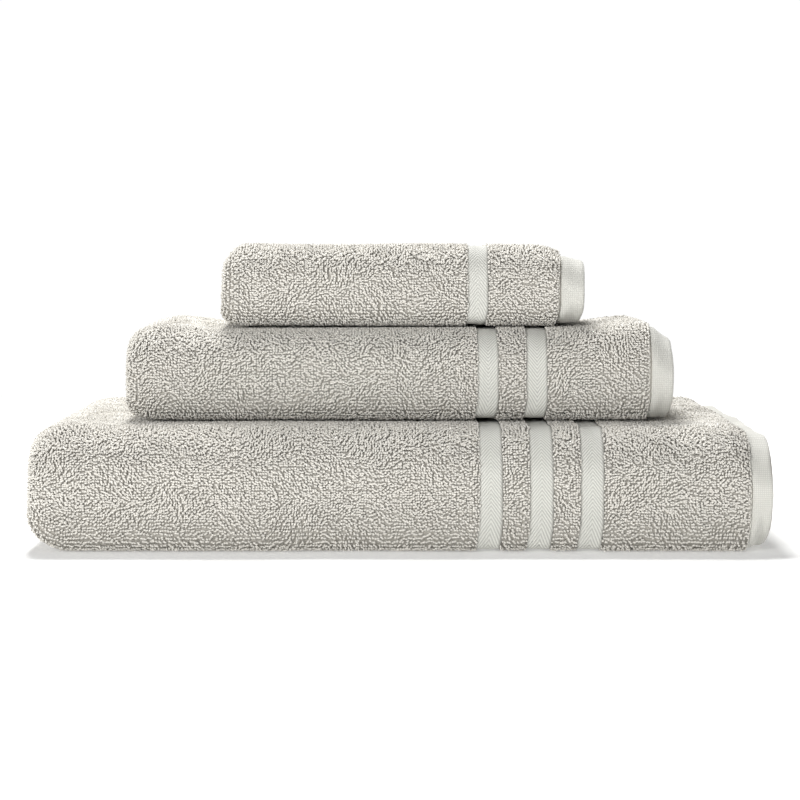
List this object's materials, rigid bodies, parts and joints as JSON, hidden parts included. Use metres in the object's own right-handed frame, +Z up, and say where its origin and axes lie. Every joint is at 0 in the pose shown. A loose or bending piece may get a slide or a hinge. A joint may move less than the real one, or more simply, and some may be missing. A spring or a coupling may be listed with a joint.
{
  "type": "bath towel set",
  "caption": "Stack of folded terry towels, bath towel under hand towel under washcloth, with flat herringbone bands and sewn hems; the upper towels lift off.",
  "frame": {"origin": "middle of the bath towel's underside, where the stack stands on a shelf", "axes": "+X along the folded towels towards their hemmed ends, -Y towards the front folds, +Z up through the stack"},
  "size_m": [0.35, 0.229, 0.1431],
  "materials": {
    "terry_pile": "looped cotton terry pile, warm silver grey, matt",
    "herringbone_band": "flat herringbone weave, slightly paler, soft sheen",
    "hem_weave": "flat fine basket weave, turned and sewn, matt",
    "sewing_thread": "lockstitch sewing thread, soft sheen"
  },
  "bodies": {
    "bath_towel": {"bath_band_1": "herringbone_band", "bath_band_2": "herringbone_band", "bath_band_3": "herringbone_band", "bath_end_hem": "hem_weave", "bath_end_hem_thread": "sewing_thread", "bath_end_terry": "terry_pile", "bath_inner_side_hem": "hem_weave", "bath_inner_side_hem_thread": "sewing_thread", "bath_stripe_1": "terry_pile", "bath_stripe_2": "terry_pile", "bath_terry_field": "terry_pile", "bath_top_side_hem": "hem_weave", "bath_top_side_hem_thread": "sewing_thread", "bath_tucked_band_1": "herringbone_band", "bath_tucked_band_2": "herringbone_band", "bath_tucked_band_3": "herringbone_band", "bath_tucked_end_hem": "hem_weave", "bath_tucked_end_hem_thread": "sewing_thread", "bath_tucked_end_terry": "terry_pile", "bath_tucked_stripe_1": "terry_pile", "bath_tucked_stripe_2": "terry_pile"},
    "hand_towel": {"hand_band_1": "herringbone_band", "hand_band_2": "herringbone_band", "hand_end_hem": "hem_weave", "hand_end_hem_thread": "sewing_thread", "hand_end_terry": "terry_pile", "hand_inner_side_hem": "hem_weave", "hand_inner_side_hem_thread": "sewing_thread", "hand_stripe_1": "terry_pile", "hand_terry_field": "terry_pile", "hand_top_side_hem": "hem_weave", "hand_top_side_hem_thread": "sewing_thread", "hand_tucked_band_1": "herringbone_band", "hand_tucked_band_2": "herringbone_band", "hand_tucked_end_hem": "hem_weave", "hand_tucked_end_hem_thread": "sewing_thread", "hand_tucked_end_terry": "terry_pile", "hand_tucked_stripe_1": "terry_pile"},
    "washcloth": {"wash_band_1": "herringbone_band", "wash_end_hem": "hem_weave", "wash_end_hem_thread": "sewing_thread", "wash_end_terry": "terry_pile", "wash_inner_side_hem": "hem_weave", "wash_inner_side_hem_thread": "sewing_thread", "wash_terry_field": "terry_pile", "wash_top_side_hem": "hem_weave", "wash_top_side_hem_thread": "sewing_thread", "wash_tucked_band_1": "herringbone_band", "wash_tucked_end_hem": "hem_weave", "wash_tucked_end_hem_thread": "sewing_thread", "wash_tucked_end_terry": "terry_pile"}
  },
  "joints": [
    {"name": "hand_towel_lift", "type": "slide", "parent": "bath_towel", "child": "hand_towel", "axis": [0, 0, 1], "range_m": [0, 0.1]},
    {"name": "washcloth_lift", "type": "slide", "parent": "hand_towel", "child": "washcloth", "axis": [0, 0, 1], "range_m": [0, 0.1]}
  ]
}
